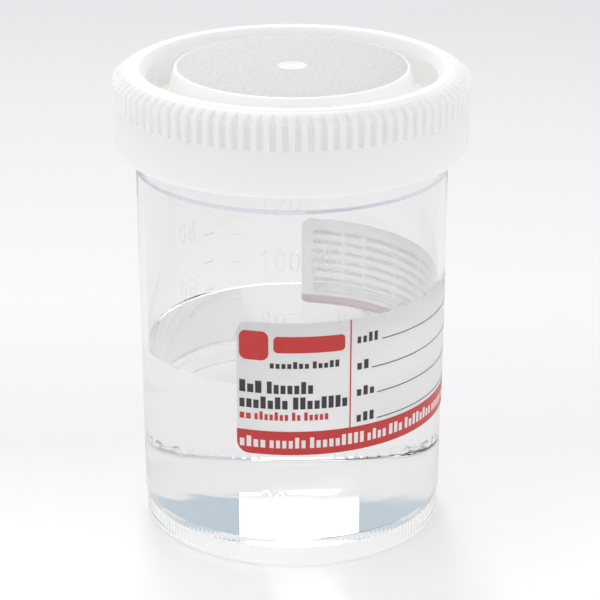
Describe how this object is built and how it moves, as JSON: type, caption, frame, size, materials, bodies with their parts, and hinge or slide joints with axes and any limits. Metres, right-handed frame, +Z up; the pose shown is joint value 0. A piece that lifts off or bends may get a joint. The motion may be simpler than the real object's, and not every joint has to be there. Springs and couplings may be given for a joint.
{
  "type": "specimen container",
  "caption": "Round clear plastic specimen jar with a ribbed white screw cap, a wrap-around label and clear liquid inside.",
  "frame": {"origin": "on the jar's axis, on the surface that its foot ring stands on", "axes": "+Z up along the jar's axis, -Y towards the front of the jar, where the scale and the label's left block are"},
  "size_m": [0.0586, 0.0586, 0.0787],
  "materials": {
    "clear_plastic": "clear moulded polypropylene, glossy",
    "white_plastic": "white moulded polyethylene, satin gloss",
    "label_film": "white coated label, smooth",
    "red_ink": "red printed ink",
    "dark_ink": "black printed ink",
    "clear_liquid": "clear water-like liquid"
  },
  "bodies": {
    "jar": {"container": "clear_plastic", "label": "label_film", "label_red_print": "red_ink", "label_dark_print": "dark_ink", "liquid": "clear_liquid"},
    "cap": {"screw_cap": "white_plastic"}
  },
  "joints": [
    {"name": "cap_lift", "type": "slide", "parent": "jar", "child": "cap", "axis": [0, 0, 1], "range_m": [0, 0.03]}
  ]
}
